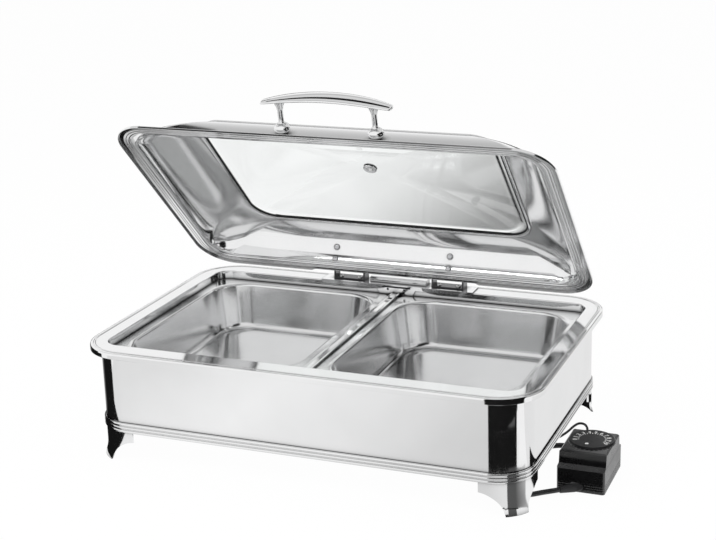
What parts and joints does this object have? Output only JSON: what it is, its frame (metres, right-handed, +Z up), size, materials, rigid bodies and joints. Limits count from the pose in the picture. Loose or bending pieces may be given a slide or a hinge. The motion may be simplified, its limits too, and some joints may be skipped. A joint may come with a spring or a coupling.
{
  "type": "electric chafing dish",
  "caption": "Rectangular electric chafing dish with a heated base, lift-out food pans, a hinged lid with a glass window and a control box on its leads.",
  "frame": {"origin": "centre of the base's footprint, on the table under the feet", "axes": "+X to the right along the dish's length, +Y to the rear where the hinge is, +Z up"},
  "size_m": [0.6465, 0.5125, 0.4564],
  "materials": {
    "polished_steel": "polished",
    "satin_steel": "satin",
    "cast_aluminium": "cast",
    "dark_element": "oxidised",
    "clear_glass": "clear",
    "black_rubber": "matt",
    "black_plastic": "moulded, fine grain",
    "cord_black": "semi-gloss",
    "plated_brass": "nickel plated"
  },
  "bodies": {
    "base": {"casing": "polished_steel", "base_band": "polished_steel", "bottom_plate": "satin_steel", "foot_front_left": "polished_steel", "foot_front_right": "polished_steel", "foot_rear_left": "polished_steel", "foot_rear_right": "polished_steel", "bottom_screws": "satin_steel", "water_pan": "satin_steel", "food_pan_left": "satin_steel", "food_pan_right": "satin_steel", "divider_bar": "polished_steel", "heater_plate": "cast_aluminium", "heater_element": "dark_element", "heater_clamp": "satin_steel", "heater_nuts": "satin_steel", "thermal_cutout": "black_plastic", "sensor_bulb": "satin_steel", "terminal_block": "black_plastic", "heater_outlet": "black_plastic", "sensor_grommet": "black_rubber", "hinge_base": "polished_steel", "hinge_bracket_left": "polished_steel", "hinge_bracket_right": "polished_steel", "hinge_pins": "polished_steel", "hinge_cover": "polished_steel", "hinge_screws": "satin_steel", "box_tray": "black_plastic", "box_cover": "black_plastic", "box_screws": "satin_steel", "box_grommets": "black_rubber", "thermostat_body": "satin_steel", "heater_lead": "cord_black", "sensor_lead": "cord_black", "mains_relief": "black_rubber", "mains_cord": "cord_black", "cord_coil": "cord_black", "cord_tail": "cord_black", "plug_body": "black_plastic", "plug_pins": "plated_brass"},
    "lid": {"hinge_arm_left": "polished_steel", "hinge_arm_right": "polished_steel", "lid_rivets": "polished_steel", "lid_shell": "polished_steel", "window_glass": "clear_glass", "window_gasket": "black_rubber", "window_bezel": "polished_steel", "window_retainer": "polished_steel", "vent_ring": "polished_steel", "handle_grip": "polished_steel", "handle_posts": "polished_steel", "handle_screws": "satin_steel"},
    "dial": {"dial": "black_plastic", "dial_shaft": "satin_steel"}
  },
  "joints": [
    {"name": "lid_hinge", "type": "hinge", "parent": "base", "child": "lid", "pos_m": [0, 0.177, 0.173], "axis": [-1, 0, 0], "range_deg": [-45, 45]},
    {"name": "dial_turn", "type": "hinge", "parent": "base", "child": "dial", "pos_m": [0.325, -0.043, 0.048], "axis": [0, 0, 1], "range_deg": [-270, 0]}
  ]
}
